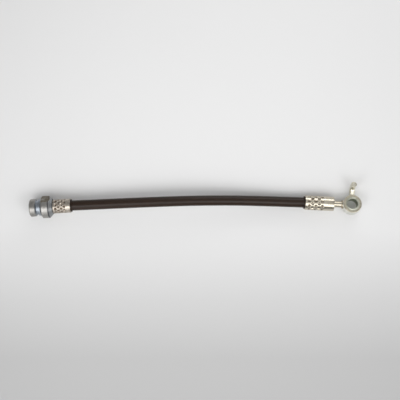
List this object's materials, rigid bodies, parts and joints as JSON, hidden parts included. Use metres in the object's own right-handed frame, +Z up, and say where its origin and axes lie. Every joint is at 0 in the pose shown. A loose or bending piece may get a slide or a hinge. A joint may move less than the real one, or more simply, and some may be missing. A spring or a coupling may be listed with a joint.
{
  "type": "brake hose",
  "caption": "Short braided rubber brake hose with a crimped female fitting with spanner flats at one end and a crimped banjo eye with a bent locating pin at the other.",
  "frame": {"origin": "on the surface the hose lies on, under the middle of the box round its fittings", "axes": "+X from the female fitting towards the banjo eye, +Y to the side the locating pin leaves on, +Z up from the surface"},
  "size_m": [0.332, 0.0363, 0.0222],
  "materials": {
    "female_fitting": "turned steel, blue-white zinc plated, satin",
    "female_ferrule": "pressed steel, zinc plated, crimped",
    "banjo_ferrule": "drawn steel, bright zinc plated, crimped",
    "banjo_stem": "drawn steel, bright zinc plated",
    "banjo_eye": "turned steel, yellowish zinc plated",
    "locating_pin": "bent steel rod, yellowish zinc plated",
    "hose_liner": "extruded rubber",
    "braid": "braided fibre",
    "hose_cover": "extruded rubber, semi-matt, faint streaks along the hose"
  },
  "bodies": {
    "root": {"female_body": "female_fitting", "female_ferrule": "female_ferrule", "banjo_ferrule": "banjo_ferrule", "banjo_stem": "banjo_stem", "banjo_eye": "banjo_eye", "locating_pin": "locating_pin", "hose_liner": "hose_liner", "inner_braid": "braid", "hose_cushion": "hose_liner", "outer_braid": "braid", "hose_cover": "hose_cover"}
  },
  "joints": []
}
